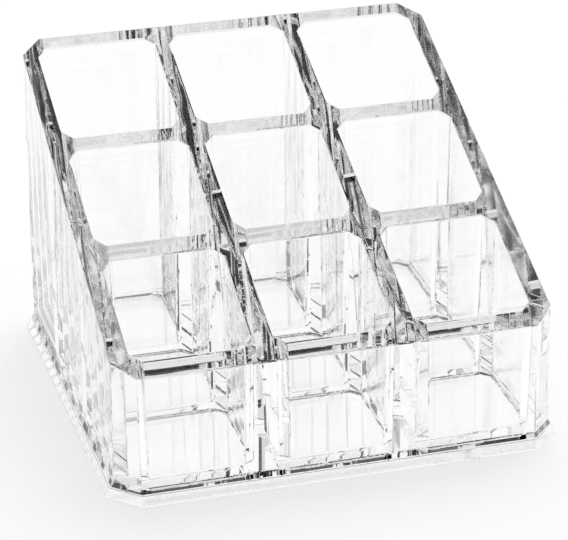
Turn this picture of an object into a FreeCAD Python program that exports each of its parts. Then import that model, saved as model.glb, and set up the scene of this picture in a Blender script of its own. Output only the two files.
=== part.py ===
import FreeCAD, Part
import math
import os

# Clear vanity organizer: a moulded body of blind cells under one inclined rim,
# whose flared foot is bonded to a flat base plate that carries on the same bevel.
# Millimetres, +Z up, the open front faces -Y, origin under the middle of the base.

# The moulded body, measured where its upright walls meet the bevel
BODY_WIDTH = 90.0
BODY_DEPTH = 90.0
OUTER_CORNER = 4.4
WALL = 4.7
DIVIDER = 5.2
CELLS_ACROSS = 3
CELLS_DEEP = 3
CELL_CORNER = 2.1

# The rim plane, low at the front and high at the back, measured from the foot of the walls
FRONT_HEIGHT = 23.5
RIM_SLOPE = 23.3

# Draft per side in degrees: the cells open upwards and the outside closes upwards
CELL_DRAFT = 0.95
OUTER_DRAFT = 0.43

# The base plate, and the flared foot of the body that stands on it
PLATE_THICKNESS = 2.0
PLATE_EDGE = 0.3
FOOT_HEIGHT = 1.3
FLANGE = 1.7
CORNER_FLANGE = 1.06

# The cell floors, measured from the joint between body and plate, and the cove round each floor
FLOOR_THICKNESS = 1.6
FLOOR_COVE = 0.6

# How far a cutting tool runs past the faces that it cuts
OVERRUN = 5.0


def octagon(width, depth, corner, middle=(0.0, 0.0), z=0.0):
    """Corner points of a rectangle with 45 degree chamfered corners, anticlockwise from above."""
    x, y = width / 2, depth / 2
    plan = [
        (x, corner - y), (x, y - corner),
        (x - corner, y), (corner - x, y),
        (-x, y - corner), (-x, corner - y),
        (corner - x, -y), (x - corner, -y),
    ]
    return [FreeCAD.Vector(middle[0] + px, middle[1] + py, z) for px, py in plan]


def flat_face(points):
    """Plane face bounded by a loop of points."""
    return Part.Face(Part.makePolygon(points + points[:1]))


def tapered(lower, upper):
    """Solid with flat sides between two loops that match point for point."""
    faces = [flat_face(lower), flat_face(upper)]
    for index in range(len(lower)):
        after = (index + 1) % len(lower)
        faces.append(flat_face([lower[index], lower[after], upper[after], upper[index]]))
    return Part.makeSolid(Part.makeShell(faces))


def wall_foot():
    """Height at which the upright walls meet the bevel."""
    return PLATE_THICKNESS + FOOT_HEIGHT


def floor_height():
    """Height of the cell floors."""
    return PLATE_THICKNESS + FLOOR_THICKNESS


def rim_height(y):
    """Height of the inclined rim plane above the foot of the walls, at a depth y."""
    return FRONT_HEIGHT + math.tan(math.radians(RIM_SLOPE)) * (y + BODY_DEPTH / 2)


def bevel_loop(z):
    """Outline of the bevel at a height between the plate's edge and the foot of the walls."""
    share = (wall_foot() - z) / (wall_foot() - PLATE_EDGE)
    spread = 2 * FLANGE * share
    corner = OUTER_CORNER + (2 * FLANGE - math.sqrt(2) * CORNER_FLANGE) * share
    return octagon(BODY_WIDTH + spread, BODY_DEPTH + spread, corner, z=z)


def cell_size():
    """Width and depth of a cell at the foot of the walls."""
    width = (BODY_WIDTH - 2 * WALL - (CELLS_ACROSS - 1) * DIVIDER) / CELLS_ACROSS
    depth = (BODY_DEPTH - 2 * WALL - (CELLS_DEEP - 1) * DIVIDER) / CELLS_DEEP
    return width, depth


def cell_middles():
    """Centre of every cell in plan, row by row from the front left."""
    width, depth = cell_size()
    middles = []
    for row in range(CELLS_DEEP):
        for column in range(CELLS_ACROSS):
            x = (column - (CELLS_ACROSS - 1) / 2) * (width + DIVIDER)
            y = (row - (CELLS_DEEP - 1) / 2) * (depth + DIVIDER)
            middles.append((x, y))
    return middles


def drafted_block(start, height, draft, width, depth, corner, middle=(0.0, 0.0)):
    """Chamfered block that widens upwards by the draft on each side.

    Its plan sizes are those at the foot of the walls, and it runs between two heights above that foot.
    """
    per_side = 2 * math.tan(math.radians(draft))
    lower = octagon(
        width + start * per_side, depth + start * per_side, corner, middle, wall_foot() + start,
    )
    upper = octagon(
        width + height * per_side, depth + height * per_side, corner, middle, wall_foot() + height,
    )
    return tapered(lower, upper)


def under_rim():
    """Block with the inclined rim plane as its top, which reaches past the body on every other side."""
    front = -BODY_DEPTH / 2 - OVERRUN
    back = BODY_DEPTH / 2 + OVERRUN
    left = -BODY_WIDTH / 2 - OVERRUN
    foot = wall_foot()
    profile = [
        FreeCAD.Vector(left, front, foot - OVERRUN),
        FreeCAD.Vector(left, back, foot - OVERRUN),
        FreeCAD.Vector(left, back, foot + rim_height(back)),
        FreeCAD.Vector(left, front, foot + rim_height(front)),
    ]
    return flat_face(profile).extrude(FreeCAD.Vector(BODY_WIDTH + 2 * OVERRUN, 0, 0))


def cell_space(middle):
    """Room of one cell, from its coved floor to past the rim."""
    width, depth = cell_size()
    floor = floor_height() - wall_foot()
    top = rim_height(BODY_DEPTH / 2) + OVERRUN
    room = drafted_block(floor, top, CELL_DRAFT, width, depth, CELL_CORNER, middle)
    low_edges = [edge for edge in room.Edges if edge.BoundBox.ZMax < floor_height() + FLOOR_COVE / 2]
    return room.makeFillet(FLOOR_COVE, low_edges)


def compartment_body():
    """The drafted walls, dividers and floors on the flared foot, cut by the rim plane."""
    top = rim_height(BODY_DEPTH / 2)
    outside = drafted_block(0.0, top, -OUTER_DRAFT, BODY_WIDTH, BODY_DEPTH, OUTER_CORNER)
    foot = tapered(bevel_loop(PLATE_THICKNESS), bevel_loop(wall_foot()))
    body = outside.common(under_rim()).fuse(foot)
    return body.cut([cell_space(middle) for middle in cell_middles()]).removeSplitter()


def base_plate():
    """The flat plate under the body, bevelled above its upright edge."""
    arris = bevel_loop(PLATE_EDGE)
    underside = [FreeCAD.Vector(point.x, point.y, 0.0) for point in arris]
    edge = tapered(underside, arris)
    return edge.fuse(tapered(arris, bevel_loop(PLATE_THICKNESS))).removeSplitter()


def main():
    os.makedirs("parts", exist_ok=True)
    pieces = {"compartment_body": compartment_body(), "base_plate": base_plate()}
    for node, shape in pieces.items():
        (solid,) = shape.Solids
        print(node, "valid", solid.isValid(), "volume mm3", round(solid.Volume, 1), "faces", len(solid.Faces))
        solid.exportStep(f"parts/{node}.step")


main()
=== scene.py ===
"""Clear vanity organizer: a moulded body of blind cells bonded to a bevelled base plate, in a white studio.

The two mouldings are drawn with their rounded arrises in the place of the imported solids.
Lengths are metres, +Z is up and the low front faces -Y.
"""

import logging
import math
from dataclasses import dataclass, field
from enum import Enum
from typing import Any, Mapping, Sequence

import bpy
import numpy as np
from mathutils import Matrix, Vector


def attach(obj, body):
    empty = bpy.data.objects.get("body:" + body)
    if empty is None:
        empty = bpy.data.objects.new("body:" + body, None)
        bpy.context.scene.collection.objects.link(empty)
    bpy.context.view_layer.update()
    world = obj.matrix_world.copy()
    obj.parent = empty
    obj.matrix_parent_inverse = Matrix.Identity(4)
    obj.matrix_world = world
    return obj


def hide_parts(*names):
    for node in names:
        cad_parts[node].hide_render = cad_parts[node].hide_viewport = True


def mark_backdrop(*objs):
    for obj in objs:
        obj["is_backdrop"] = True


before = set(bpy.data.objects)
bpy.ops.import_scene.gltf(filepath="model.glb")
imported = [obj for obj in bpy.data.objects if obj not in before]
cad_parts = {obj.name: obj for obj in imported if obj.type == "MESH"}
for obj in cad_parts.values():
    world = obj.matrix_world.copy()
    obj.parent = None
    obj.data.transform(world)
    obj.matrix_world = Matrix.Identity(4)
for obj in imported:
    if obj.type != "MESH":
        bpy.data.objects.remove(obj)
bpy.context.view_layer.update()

MM = 0.001
PICTURE_WIDTH = 568

# Points of a mesh that are nearer than this are one point
WELD = 0.0005 * MM
# Facets across a rounded edge, and the angle in degrees from which an edge is rounded
EDGE_FACETS = 2
EDGE_ANGLE = 25.0
# Surfaces that a ray may meet: every wall that it crosses adds two, and light is guided inside the walls
BOUNCES = 128
# Places of the colour sockets of a Mix node
MIX_SHARE, MIX_FIRST, MIX_SECOND, MIX_RESULT = 0, 6, 7, 2
WHITE = (1.0, 1.0, 1.0, 1.0)

log = logging.getLogger("vanity_organizer")


class Ray(Enum):
    """Kinds of ray that a studio surface can tell apart."""

    CAMERA = "Is Camera Ray"
    GLOSSY = "Is Glossy Ray"
    TRANSMISSION = "Is Transmission Ray"


class Tone:
    """A shader socket with arithmetic: each operator adds one Math node to its sheet."""

    def __init__(self, sheet: "Sheet", socket: bpy.types.NodeSocket | None) -> None:
        """Keep the sheet that the socket belongs to; an output node has no socket to keep."""
        self.sheet = sheet
        self.socket = socket

    def math(self, operation: str, first: Any, second: Any = 0.0) -> "Tone":
        """Add a Math node.

        Args:
            operation: Blender's name of the operation.
            first: a Tone or a number.
            second: a Tone or a number, unused by operations of one value.

        Returns:
            The node's result.
        """
        return self.sheet.node("ShaderNodeMath", {"operation": operation}, {0: first, 1: second})

    def __add__(self, other: Any) -> "Tone":
        """Sum."""
        return self.math("ADD", self, other)

    def __radd__(self, other: Any) -> "Tone":
        """Sum with a number on the left."""
        return self.math("ADD", other, self)

    def __sub__(self, other: Any) -> "Tone":
        """Difference."""
        return self.math("SUBTRACT", self, other)

    def __rsub__(self, other: Any) -> "Tone":
        """Difference from a number on the left."""
        return self.math("SUBTRACT", other, self)

    def __mul__(self, other: Any) -> "Tone":
        """Product."""
        return self.math("MULTIPLY", self, other)

    def __rmul__(self, other: Any) -> "Tone":
        """Product with a number on the left."""
        return self.math("MULTIPLY", other, self)

    def __abs__(self) -> "Tone":
        """Size without the sign."""
        return self.math("ABSOLUTE", self)

    def larger(self, other: Any) -> "Tone":
        """The larger of two values."""
        return self.math("MAXIMUM", self, other)

    def between(self, low: float, high: float) -> "Tone":
        """Smooth step from 0 at low to 1 at high."""
        sockets = {"Value": self, "From Min": low, "From Max": high}
        return self.sheet.node("ShaderNodeMapRange", {"interpolation_type": "SMOOTHSTEP"}, sockets)


class Sheet:
    """The node tree of one material or of the world."""

    def __init__(self, tree: bpy.types.NodeTree) -> None:
        """Start from an empty tree."""
        tree.nodes.clear()
        self.tree = tree

    def node(
        self,
        kind: str,
        settings: Mapping[str, Any] | None = None,
        sockets: Mapping[int | str, Any] | None = None,
        output: int | str = 0,
    ) -> Tone:
        """Add any node.

        Args:
            kind: the node's Blender type.
            settings: properties of the node, set before its sockets.
            sockets: values or links of its inputs, by name or place.
            output: name or place of the output that is returned.

        Returns:
            The chosen output.
        """
        made = self.tree.nodes.new(kind)
        for name, value in (settings or {}).items():
            setattr(made, name, value)
        for name, value in (sockets or {}).items():
            if isinstance(value, Tone):
                self.tree.links.new(value.socket, made.inputs[name])
            else:
                made.inputs[name].default_value = value
        return Tone(self, made.outputs[output] if made.outputs else None)

    def mixed(self, share: Tone, first: Sequence[float], second: Sequence[float]) -> Tone:
        """Mix two colours, by a share of the second."""
        sockets = {MIX_SHARE: share, MIX_FIRST: (*first, 1.0), MIX_SECOND: (*second, 1.0)}
        return self.node("ShaderNodeMix", {"data_type": "RGBA"}, sockets, MIX_RESULT)

    def noise(self, place: Tone, scale: float, detail: float) -> Tone:
        """Soft noise round 0.5, with so many waves in a metre."""
        return self.node("ShaderNodeTexNoise", sockets={"Vector": place, "Scale": scale, "Detail": detail})

    def parts(self, vector: Tone) -> tuple[Tone, ...]:
        """Split a vector into its X, Y and Z."""
        first = self.node("ShaderNodeSeparateXYZ", sockets={"Vector": vector})
        return tuple(Tone(self, socket) for socket in first.socket.node.outputs)


@dataclass(frozen=True)
class RimPlane:
    """The inclined plane that cuts the body.

    Attributes:
        front: its height above the table at the front face.
        start: the Y of that face.
        slope: its angle in degrees.
    """

    front: float = 26.8 * MM
    start: float = -45 * MM
    slope: float = 23.3

    @property
    def rise(self) -> float:
        """Rise per unit of Y."""
        return math.tan(math.radians(self.slope))

    def height(self, y: Any) -> Any:
        """Height above the table at a Y, which may be a number, an array or a Tone."""
        return self.front + self.rise * (y - self.start)


@dataclass(frozen=True)
class ClearPlastic:
    """Water-clear polished moulding: faint flow ripples, a wavier rim with painted shade greyed into its
    colour, and haze from handling.

    Attributes:
        name: the material's name.
        rim: plane of the organizer's rim.
        tint: colour that one wall of the clear plastic passes.
        rim_painted_shade: grey painted into the colour of a face on the rim, as painted shade for the dark
            that the rim shows.
        ior: refractive index.
        polish: roughness of the polished faces.
        haze: roughness added in patches where hands have touched it.
        haze_scale: waves of the haze in a metre.
        haze_detail: octaves of finer waves within those.
        haze_range: values of that noise between which a patch sets in.
        grip: roughness added on the two outer side faces, by which it is held.
        grip_range: distances from the middle plane between which those faces set in.
        wave_pitch: length of one ripple of the moulded faces.
        wave_depth: depth of those ripples.
        wave_shrink: scale of the ripples' noise along Z; below 1, because ripples run up the walls.
        wave_detail: octaves of finer waves within the ripples.
        rim_pitch: length of one ripple of the rim.
        rim_depth: depth of those ripples.
        rim_range: depths under the rim plane between which the rim's ripples and painted shade end.
    """

    name: str
    rim: RimPlane
    tint: tuple[float, float, float] = (0.998, 0.999, 1.0)
    # painted shade: the rim's faces are greyed to stand for the dark that light shows on them
    rim_painted_shade: tuple[float, float, float] = (0.86, 0.863, 0.867)
    ior: float = 1.59
    polish: float = 0.014
    haze: float = 0.016
    haze_scale: float = 55.0
    haze_detail: float = 4.0
    haze_range: tuple[float, float] = (0.52, 0.75)
    grip: float = 0.035
    grip_range: tuple[float, float] = (44.2 * MM, 44.6 * MM)
    wave_pitch: float = 14 * MM
    wave_depth: float = 0.02 * MM
    wave_shrink: float = 0.4
    wave_detail: float = 1.0
    rim_pitch: float = 12 * MM
    rim_depth: float = 0.1 * MM
    rim_range: tuple[float, float] = (0.1 * MM, 0.5 * MM)

    def material(self) -> bpy.types.Material:
        """Build the material.

        The bump's height is wave_depth * ripple + rim_depth * rim ripple on the rim, and the roughness is
        polish + haze in patches + grip on the outer side faces.

        Returns:
            A Principled material with full transmission.
        """
        made = bpy.data.materials.new(self.name)
        made.use_nodes = True
        sheet = Sheet(made.node_tree)
        place = sheet.node("ShaderNodeTexCoord", output="Object")
        x, y, z = sheet.parts(place)
        stretch = (1.0, 1.0, self.wave_shrink)
        upwards = sheet.node("ShaderNodeMapping", sockets={"Vector": place, "Scale": stretch})
        ripple = sheet.noise(upwards, 1 / self.wave_pitch, self.wave_detail)
        rim_ripple = sheet.noise(place, 1 / self.rim_pitch, self.wave_detail)
        on_rim = 1.0 - (self.rim.height(y) - z).between(*self.rim_range)
        height = self.wave_depth * ripple + self.rim_depth * rim_ripple * on_rim
        patches = sheet.noise(place, self.haze_scale, self.haze_detail).between(*self.haze_range)
        held = abs(x).between(*self.grip_range)
        bump = sheet.node("ShaderNodeBump", sockets={"Strength": 1.0, "Distance": 1.0, "Height": height})
        surface = sheet.node(
            "ShaderNodeBsdfPrincipled",
            sockets={
                # the plastic's tint, greyed on the rim as painted shade
                "Base Color": sheet.mixed(on_rim, self.tint, self.rim_painted_shade),
                "Roughness": self.polish + self.haze * patches + self.grip * held,
                "IOR": self.ior,
                "Transmission Weight": 1.0,
                "Normal": bump,
            },
        )
        sheet.node("ShaderNodeOutputMaterial", sockets={"Surface": surface})
        return made


@dataclass(frozen=True)
class Outline:
    """Rectangle with 45 degree corners, in plan.

    Attributes:
        width: size along X.
        depth: size along Y.
        corner: leg of each corner chamfer.
    """

    width: float
    depth: float
    corner: float

    @property
    def half(self) -> np.ndarray:
        """Half sizes along X and Y."""
        return np.array([self.width, self.depth]) / 2


@dataclass(frozen=True)
class Loop:
    """Closed plan loops, one per cell, as points that drift as they rise.

    Attributes:
        plan: points at the foot, shape (cells, points, 2).
        drift: sideways move of each point per unit of rise, same shape.
    """

    plan: np.ndarray
    drift: np.ndarray

    def at(self, height: float) -> np.ndarray:
        """Points at one height above the foot: plan + drift * height, with that height as Z."""
        flat = self.plan + self.drift * height
        return np.concatenate([flat, np.full(flat.shape[:2] + (1,), height)], axis=2)

    def on_rim(self, rim: RimPlane, foot: float) -> np.ndarray:
        """Points where each rising line meets the rim plane.

        A line is y = y0 + dy * z, and the plane's height above the foot is h + rise * (y - y0), where h is
        that height at y0, so z = h / (1 - rise * dy).

        Args:
            rim: the rim plane.
            foot: the foot's height above the table.

        Returns:
            Points of shape (cells, points, 3), with heights above the foot.
        """
        z = (rim.height(self.plan[..., 1]) - foot) / (1 - rim.rise * self.drift[..., 1])
        flat = self.plan + self.drift * z[..., None]
        return np.concatenate([flat, z[..., None]], axis=2)


@dataclass(frozen=True)
class CellGrid:
    """Plan of the cells: a chamfered loop for each cell and a tile of the body around it.

    A loop has three points to each corner: the end of one side, the middle of the chamfer and the start of
    the next side. A tile's border has a point for each of them, so a ring between two loops is all quads.

    Attributes:
        body: outline of the body at its foot.
        wall: thickness of the outer wall at the foot.
        divider: thickness of a divider at the foot.
        corner: leg of a cell's corner chamfer.
        across: cells in a row.
        deep: rows.
    """

    body: Outline
    wall: float = 4.7 * MM
    divider: float = 5.2 * MM
    corner: float = 2.1 * MM
    across: int = 3
    deep: int = 3

    @property
    def counts(self) -> np.ndarray:
        """Cells along X and Y."""
        return np.array([self.across, self.deep])

    @property
    def cell(self) -> Outline:
        """Outline of one cell at the foot."""
        size = (2 * self.body.half - 2 * self.wall - (self.counts - 1) * self.divider) / self.counts
        return Outline(size[0], size[1], self.corner)

    @property
    def places(self) -> np.ndarray:
        """Column and row of each cell, shape (cells, 2)."""
        columns, rows = np.meshgrid(np.arange(self.across), np.arange(self.deep))
        return np.stack([columns.ravel(), rows.ravel()], axis=1)

    @property
    def pitch(self) -> np.ndarray:
        """Distance from cell to cell along X and Y."""
        return 2 * self.cell.half + self.divider

    @property
    def middles(self) -> np.ndarray:
        """Centre of each cell, shape (cells, 1, 2)."""
        return ((self.places - (self.counts - 1) / 2) * self.pitch)[:, None, :]

    @staticmethod
    def template() -> tuple[np.ndarray, np.ndarray]:
        """Corner signs and chamfer pulls of the twelve loop points, anticlockwise from the front right.

        Returns:
            Two arrays of shape (12, 2): the sign of each coordinate, and the share of the chamfer's leg by
            which the point stands back from the full corner.
        """
        signs = np.repeat(np.array([(1, -1), (1, 1), (-1, 1), (-1, -1)], float), 3, axis=0)
        turn = np.array([(1.0, 0.0), (0.5, 0.5), (0.0, 1.0)])
        pulls = np.concatenate([turn, turn[::-1], turn, turn[::-1]])
        return signs, pulls

    def cells(self, spread: float, inset: float = 0.0) -> Loop:
        """Loops of all cells: middle + sign * (half size - inset - pull * leg).

        The leg of the chamfers gets shorter by (2 - sqrt 2) times the inset, so that the chamfers move in
        by as much as the sides do.

        Args:
            spread: draft, as the sideways move per unit of rise.
            inset: how far each side stands in from the cell's wall.

        Returns:
            The loops, which widen as they rise.
        """
        signs, pulls = self.template()
        leg = self.corner - (2 - math.sqrt(2)) * inset
        plan = self.middles + signs * (self.cell.half - inset - pulls * leg)
        return Loop(plan, np.broadcast_to(signs * spread, plan.shape))

    def at_edge(self) -> np.ndarray:
        """Mark the loop points whose cell is the last on their side, per axis, shape (cells, 12, 2)."""
        signs, _ = self.template()
        return self.places[:, None, :] == np.where(signs > 0, self.counts - 1, 0)

    def at_corner(self) -> np.ndarray:
        """Mark the loop points that stand at the body's own corners, shape (cells, 12, 1)."""
        return self.at_edge().all(axis=2, keepdims=True)

    def on_outside(self) -> np.ndarray:
        """Mark the border points that lie on the body's outside, per axis, shape (cells, 12, 2)."""
        _, pulls = self.template()
        return np.where(self.at_corner(), True, self.at_edge() & (pulls < 1))

    def outer_sides(self) -> np.ndarray:
        """Mark the border's sides that lie on the body's outside, shape (cells, 12)."""
        outside = self.on_outside()
        return (outside & np.roll(outside, -1, axis=1)).any(axis=2)

    def borders(self, outline: Outline, spread: float) -> Loop:
        """Borders of all tiles, which share the body between them up to an outline.

        Inside the body a border runs along the middle of the dividers. On the outside it follows the outline,
        and at the body's own corners it takes that outline's chamfer: sign * (half size - pull * corner).

        Args:
            outline: the outer outline at this level.
            spread: draft of the outside, as the outward move per unit of rise.

        Returns:
            The borders.
        """
        signs, pulls = self.template()
        outside = self.on_outside()
        beside = self.middles + signs * (self.cell.half - self.corner)
        between = self.middles + signs * self.pitch / 2
        plan = np.where(pulls < 1, between, beside)
        plan = np.where(outside, signs * outline.half, plan)
        plan = np.where(self.at_corner(), signs * (outline.half - pulls * outline.corner), plan)
        return Loop(plan, np.where(outside, signs * spread, 0.0))


@dataclass
class Moulding:
    """A closed mesh that gathers rings of points and welds them.

    Attributes:
        name: the piece's name.
        points: blocks of points, each of shape (cells, points, 3).
        faces: faces as tuples of places in the stacked points.
    """

    name: str
    points: list[np.ndarray] = field(default_factory=list)
    faces: list[tuple[int, ...]] = field(default_factory=list)

    def ring(self, block: np.ndarray) -> np.ndarray:
        """Add a block of loops.

        Args:
            block: points of shape (cells, points, 3).

        Returns:
            The place of each point, shape (cells, points).
        """
        first = sum(one.shape[0] * one.shape[1] for one in self.points)
        self.points.append(block)
        return first + np.arange(block.shape[0] * block.shape[1]).reshape(block.shape[:2])

    def band(self, lower: np.ndarray, upper: np.ndarray, keep: np.ndarray | None = None) -> None:
        """Join two rings by quads: (lower p, upper p, upper p+1, lower p+1) for each point p.

        Args:
            lower: places of the first ring.
            upper: places of the second ring.
            keep: marks the quads that are kept, shape (cells, points), or None for all.
        """
        quads = np.stack([lower, upper, np.roll(upper, -1, axis=1), np.roll(lower, -1, axis=1)], axis=2)
        chosen = quads.reshape(-1, 4) if keep is None else quads[keep]
        self.faces += [tuple(quad) for quad in chosen.tolist()]

    def lid(self, ring: np.ndarray, upwards: bool) -> None:
        """Close each loop of a ring by one flat face, which looks up or down."""
        turned = ring if upwards else ring[:, ::-1]
        self.faces += [tuple(loop) for loop in turned.tolist()]

    def piece(self, arris: float, lift: float) -> bpy.types.Object:
        """Weld the points and make the object.

        Args:
            arris: radius of the rounded edges.
            lift: height of the foot plane above the origin.

        Returns:
            The object, with its edges rounded by a modifier.
        """
        stacked = np.concatenate([block.reshape(-1, 3) for block in self.points])
        grid = np.round(stacked / WELD).astype(np.int64)
        _, kept, places = np.unique(grid, axis=0, return_index=True, return_inverse=True)
        welded = stacked[kept] + np.array([0.0, 0.0, lift])
        places = places.ravel()
        mesh = bpy.data.meshes.new(self.name)
        mesh.from_pydata(welded.tolist(), [], [tuple(places[list(face)].tolist()) for face in self.faces])
        mesh.validate()
        made = bpy.data.objects.new(self.name, mesh)
        bpy.context.scene.collection.objects.link(made)
        edge = made.modifiers.new("arris", "BEVEL")
        edge.width = arris
        edge.segments = EDGE_FACETS
        edge.limit_method = "ANGLE"
        edge.angle_limit = math.radians(EDGE_ANGLE)
        log.info("%s: %d points, %d faces", self.name, len(welded), len(self.faces))
        return made


@dataclass(frozen=True)
class FlaredFoot:
    """The bevel round the foot, which the body starts and the base plate carries on.

    Attributes:
        wall_foot: height at which the upright walls meet the bevel.
        joint: height of the joint between body and plate.
        edge: height of the plate's upright edge.
        flange: how far the bevel stands out past the walls at its foot.
        corner: leg of the corner chamfer at the bevel's foot.
        film: thickness of the air film in the joint.
    """

    wall_foot: float = 3.3 * MM
    joint: float = 2.0 * MM
    edge: float = 0.3 * MM
    flange: float = 1.7 * MM
    corner: float = 6.3 * MM
    film: float = 0.03 * MM

    def ring(self, grid: CellGrid, height: float) -> np.ndarray:
        """Borders of all tiles on the bevel.

        The outline grows in a straight line from the walls' own at their foot to the flange at the plate's
        edge, and stays that wide below it.

        Args:
            grid: plan of the cells.
            height: height above the table.

        Returns:
            Points of shape (cells, points, 3), with heights above the foot of the walls.
        """
        share = min((self.wall_foot - height) / (self.wall_foot - self.edge), 1.0)
        outline = Outline(
            grid.body.width + 2 * self.flange * share,
            grid.body.depth + 2 * self.flange * share,
            grid.body.corner + (self.corner - grid.body.corner) * share,
        )
        return grid.borders(outline, 0.0).at(height - self.wall_foot)


@dataclass(frozen=True)
class CompartmentBody:
    """The moulded walls, dividers and cell floors under the inclined rim, on a flared foot.

    Attributes:
        grid: plan of the cells.
        foot: the bevel that its foot starts.
        rim: the plane that cuts the walls.
        finish: the clear plastic.
        cell_draft: draft of the cells in degrees, which open upwards.
        outer_draft: draft of the outside in degrees, which closes upwards.
        floor: height of the cell floors above the table.
        cove: radius of the cove round each floor.
        cove_steps: facets across the cove.
        arris: radius of the edges.
    """

    grid: CellGrid
    foot: FlaredFoot
    rim: RimPlane
    finish: ClearPlastic
    cell_draft: float = 0.95
    outer_draft: float = 0.43
    floor: float = 3.6 * MM
    cove: float = 0.6 * MM
    cove_steps: int = 6
    arris: float = 0.25 * MM

    def cove_ring(self, turn: float) -> np.ndarray:
        """Loops of all cells on the cove, a quarter circle from wall to floor.

        A loop stands in from the wall by cove * (1 - cos(turn)), and above the floor by
        cove * (1 - sin(turn)).

        Args:
            turn: angle round the cove, 0 at the wall and a quarter turn at the floor.

        Returns:
            Points of shape (cells, points, 3), with heights above the foot of the walls.
        """
        spread = math.tan(math.radians(self.cell_draft))
        height = self.floor - self.foot.wall_foot + self.cove * (1 - math.sin(turn))
        return self.grid.cells(spread, self.cove * (1 - math.cos(turn))).at(height)

    def build(self) -> bpy.types.Object:
        """Make the body as rings round every cell: floor, cove, cell rim, outer rim, wall foot, joint.

        Returns:
            The finished piece.
        """
        cells = self.grid.cells(math.tan(math.radians(self.cell_draft)))
        borders = self.grid.borders(self.grid.body, -math.tan(math.radians(self.outer_draft)))
        shape = Moulding("compartment_body_clear")
        turns = np.linspace(0.0, math.pi / 2, self.cove_steps + 1)
        coves = [shape.ring(self.cove_ring(turn)) for turn in turns]
        cell_rim = shape.ring(cells.on_rim(self.rim, self.foot.wall_foot))
        outer_rim = shape.ring(borders.on_rim(self.rim, self.foot.wall_foot))
        wall_foot = shape.ring(borders.at(0.0))
        joint = shape.ring(self.foot.ring(self.grid, self.foot.joint + self.foot.film))
        walls = self.grid.outer_sides()
        shape.lid(coves[-1], upwards=True)
        for upper, lower in zip(coves, coves[1:]):
            shape.band(lower, upper)
        shape.band(coves[0], cell_rim)
        shape.band(cell_rim, outer_rim)
        shape.band(outer_rim, wall_foot, walls)
        shape.band(wall_foot, joint, walls)
        shape.lid(joint, upwards=False)
        made = shape.piece(self.arris, self.foot.wall_foot)
        made.data.materials.append(self.finish.material())
        return made


@dataclass(frozen=True)
class BasePlate:
    """The flat plate bonded under the body, which carries on its bevel.

    Attributes:
        grid: plan of the cells.
        foot: the bevel that it carries on.
        finish: the clear plastic.
        arris: radius of the edges.
    """

    grid: CellGrid
    foot: FlaredFoot
    finish: ClearPlastic
    arris: float = 0.12 * MM

    def build(self) -> bpy.types.Object:
        """Make the plate as rings: top face, bevel, upright edge, underside.

        Returns:
            The finished piece.
        """
        shape = Moulding("base_plate_clear")
        heights = (self.foot.joint, self.foot.edge, 0.0)
        top, bevel, under = (shape.ring(self.foot.ring(self.grid, height)) for height in heights)
        walls = self.grid.outer_sides()
        shape.lid(top, upwards=True)
        shape.band(top, bevel, walls)
        shape.band(bevel, under, walls)
        shape.lid(under, upwards=False)
        made = shape.piece(self.arris, self.foot.wall_foot)
        made.data.materials.append(self.finish.material())
        return made


@dataclass(frozen=True)
class Softbox:
    """A square key lamp, which lights matt surfaces such as the table; clear walls don't show it.

    Attributes:
        azimuth: bearing in degrees, 0 in front of the object and positive to its right.
        elevation: height angle in degrees.
        distance: lamp to object.
        size: side of its square.
        power: in watts.
    """

    azimuth: float = 150.0
    elevation: float = 62.0
    distance: float = 1.1
    size: float = 1.0
    power: float = 13.5

    def hang(self) -> bpy.types.Object:
        """Hang the lamp so that it looks at the object.

        Returns:
            The lamp.
        """
        lamp = bpy.data.lights.new("key_softbox", "AREA")
        lamp.shape = "SQUARE"
        lamp.size = self.size
        lamp.energy = self.power
        made = bpy.data.objects.new("key_softbox", lamp)
        towards = bearing_vector(self.azimuth, self.elevation)
        made.rotation_euler = towards.to_track_quat("Z", "Y").to_euler()
        made.location = towards * self.distance
        made.visible_camera = False
        made.visible_glossy = False
        made.visible_transmission = False
        bpy.context.scene.collection.objects.link(made)
        return made


@dataclass(frozen=True)
class Panel:
    """A soft round panel of the dome.

    Attributes:
        azimuth: bearing in degrees, 0 in front of the object and positive to its right.
        elevation: height angle in degrees.
        core: radius in degrees within which it has its full level.
        reach: radius in degrees at which it has faded out.
        level: brightness, where 1 is white.
    """

    azimuth: float
    elevation: float
    core: float
    reach: float
    level: float


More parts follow.
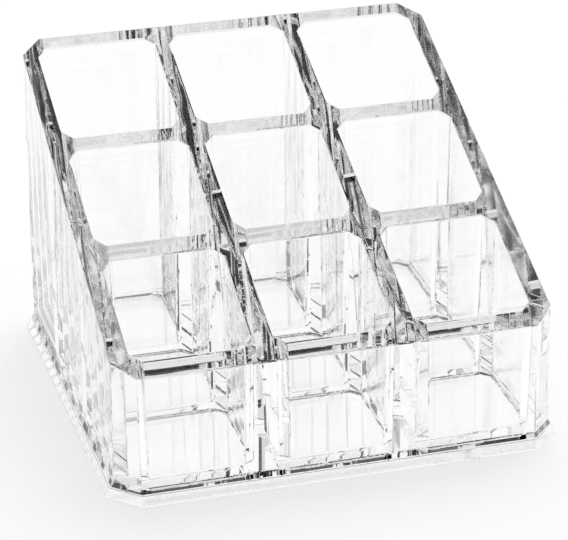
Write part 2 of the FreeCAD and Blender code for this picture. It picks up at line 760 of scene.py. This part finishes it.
@dataclass(frozen=True)
class Studio:
    """White table, a dome with a low bright band behind the object and soft panels above, and the camera.

    Attributes:
        floor_reach: half size of the table top.
        floor_gap: how far the table lies under the plate, so that their faces stay apart.
        floor_grey: brightness of the table's matt paint.
        floor_white: share of white that the camera sees on the table whatever the light.
        band: brightness of the band.
        band_top: elevations in degrees between which the band ends.
        band_ends: parts of a unit vector along -Y between which the band fades to the front.
        panels: soft panels above the band.
        target: point that the camera looks at.
        distance: camera to target.
        azimuth: camera's bearing in degrees, 0 in front of the object and positive to its right.
        elevation: camera's height angle in degrees.
        roll: camera's roll in degrees.
        focal_pixels: focal length in pixels of the picture.
        sensor: width of the camera's sensor in millimetres.
    """

    floor_reach: float = 6.0
    floor_gap: float = 0.15 * MM
    floor_grey: float = 0.9
    floor_white: float = 0.75
    band: float = 1.0
    band_top: tuple[float, float] = (30.0, 39.0)
    band_ends: tuple[float, float] = (0.05, 0.55)
    panels: tuple[Panel, ...] = (Panel(35.0, 65.0, 5.0, 35.0, 0.9),)
    target: tuple[float, float, float] = (7.74 * MM, 23.31 * MM, 13.82 * MM)
    distance: float = 569.9 * MM
    azimuth: float = -15.68
    elevation: float = 24.25
    roll: float = -0.62
    focal_pixels: float = 2603.8
    sensor: float = 36.0

    def floor(self) -> bpy.types.Object:
        """Lay the table top: matt for lamps and shadows, white where clear walls or polish show it.

        Returns:
            The table, marked as stage.
        """
        reach = self.floor_reach
        corners = [(-reach, -reach), (reach, -reach), (reach, reach), (-reach, reach)]
        mesh = bpy.data.meshes.new("table_top")
        mesh.from_pydata([(x, y, -self.floor_gap) for x, y in corners], [], [(0, 1, 2, 3)])
        made = bpy.data.objects.new("table_top", mesh)
        bpy.context.scene.collection.objects.link(made)
        paint = bpy.data.materials.new("table_white")
        paint.use_nodes = True
        paint.cycles.emission_sampling = "NONE"
        sheet = Sheet(paint.node_tree)
        camera, glossy, transmission = (sheet.node("ShaderNodeLightPath", output=ray.value) for ray in Ray)
        grey = self.floor_grey
        matt = sheet.node("ShaderNodeBsdfDiffuse", sockets={"Color": (grey, grey, grey, 1.0)})
        white = sheet.node("ShaderNodeEmission", sockets={"Color": WHITE, "Strength": 1.0})
        share = (camera * self.floor_white).larger(glossy).larger(transmission)
        mixed = sheet.node("ShaderNodeMixShader", sockets={0: share, 1: matt, 2: white})
        sheet.node("ShaderNodeOutputMaterial", sockets={"Surface": mixed})
        made.data.materials.append(paint)
        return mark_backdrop(made)

    def dome(self) -> None:
        """Light the scene from low behind, white to the camera.

        The brightness is that of the band, which fades to the front and ends above, plus that of the panels.
        """
        world = bpy.data.worlds.new("studio_dome")
        world.use_nodes = True
        bpy.context.scene.world = world
        sheet = Sheet(world.node_tree)
        direction = sheet.node("ShaderNodeTexCoord", output="Generated")
        x, y, z = sheet.parts(direction)
        low, high = (math.sin(math.radians(angle)) for angle in self.band_top)
        band = self.band * (1.0 - (-1.0 * y).between(*self.band_ends))
        level = band * (1.0 - z.between(low, high))
        for panel in self.panels:
            towards = bearing_vector(panel.azimuth, panel.elevation)
            facing = x * towards.x + y * towards.y + z * towards.z
            edge, core = (math.cos(math.radians(angle)) for angle in (panel.reach, panel.core))
            level = level + panel.level * facing.between(edge, core)
        strength = level.larger(sheet.node("ShaderNodeLightPath", output=Ray.CAMERA.value))
        sky = sheet.node("ShaderNodeBackground", sockets={"Color": WHITE, "Strength": strength})
        sheet.node("ShaderNodeOutputWorld", sockets={"Surface": sky})

    def camera(self) -> bpy.types.Object:
        """Place the camera on a sphere round its target.

        Returns:
            The camera, set as the scene's.
        """
        back = bearing_vector(self.azimuth, self.elevation)
        level = Vector((0.0, 0.0, 1.0)).cross(back).normalized()
        upright = back.cross(level)
        turn = math.radians(self.roll)
        right = level * math.cos(turn) + upright * math.sin(turn)
        above = upright * math.cos(turn) - level * math.sin(turn)
        lens = bpy.data.cameras.new("product_camera")
        lens.sensor_fit = "HORIZONTAL"
        lens.sensor_width = self.sensor
        lens.lens = self.sensor * self.focal_pixels / PICTURE_WIDTH
        made = bpy.data.objects.new("product_camera", lens)
        place = Vector(self.target) + back * self.distance
        made.matrix_world = Matrix((right, above, back)).transposed().to_4x4()
        made.location = place
        bpy.context.scene.collection.objects.link(made)
        bpy.context.scene.camera = made
        return made

    def light_paths(self) -> None:
        """Let light pass through many walls in a row, and keep colours as they are written."""
        scene = bpy.context.scene
        scene.view_settings.view_transform = "Standard"
        scene.cycles.max_bounces = BOUNCES
        scene.cycles.transmission_bounces = BOUNCES
        scene.cycles.glossy_bounces = BOUNCES


def bearing_vector(azimuth: float, elevation: float) -> Vector:
    """Unit vector towards a bearing.

    Args:
        azimuth: degrees, 0 in front of the object and positive to its right.
        elevation: degrees above the table.

    Returns:
        (sin a * cos e, -cos a * cos e, sin e).
    """
    bearing, height = math.radians(azimuth), math.radians(elevation)
    flat = math.cos(height)
    return Vector((math.sin(bearing) * flat, -math.cos(bearing) * flat, math.sin(height)))


def main() -> None:
    """Build the mouldings, dress them and set the studio."""
    logging.basicConfig(level=logging.INFO, format="%(name)s: %(message)s")
    grid = CellGrid(Outline(90 * MM, 90 * MM, 4.4 * MM))
    foot = FlaredFoot()
    rim = RimPlane()
    body_plastic = ClearPlastic("clear_moulding", rim)
    plate_plastic = ClearPlastic(
        "clear_base_moulding", rim, ior=1.49, polish=0.025, grip=0.0, wave_depth=0.004 * MM
    )
    pieces = {
        "compartment_body": (CompartmentBody(grid, foot, rim, body_plastic).build(), "clear_body"),
        "base_plate": (BasePlate(grid, foot, plate_plastic).build(), "clear_base"),
    }
    for node, (piece, slot) in pieces.items():
        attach(piece, "root")
        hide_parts(node)
        log.info("%s stands for %s", piece.name, node)
    studio = Studio()
    studio.floor()
    studio.dome()
    Softbox().hang()
    studio.camera()
    studio.light_paths()


if __name__ == "__main__":
    main()
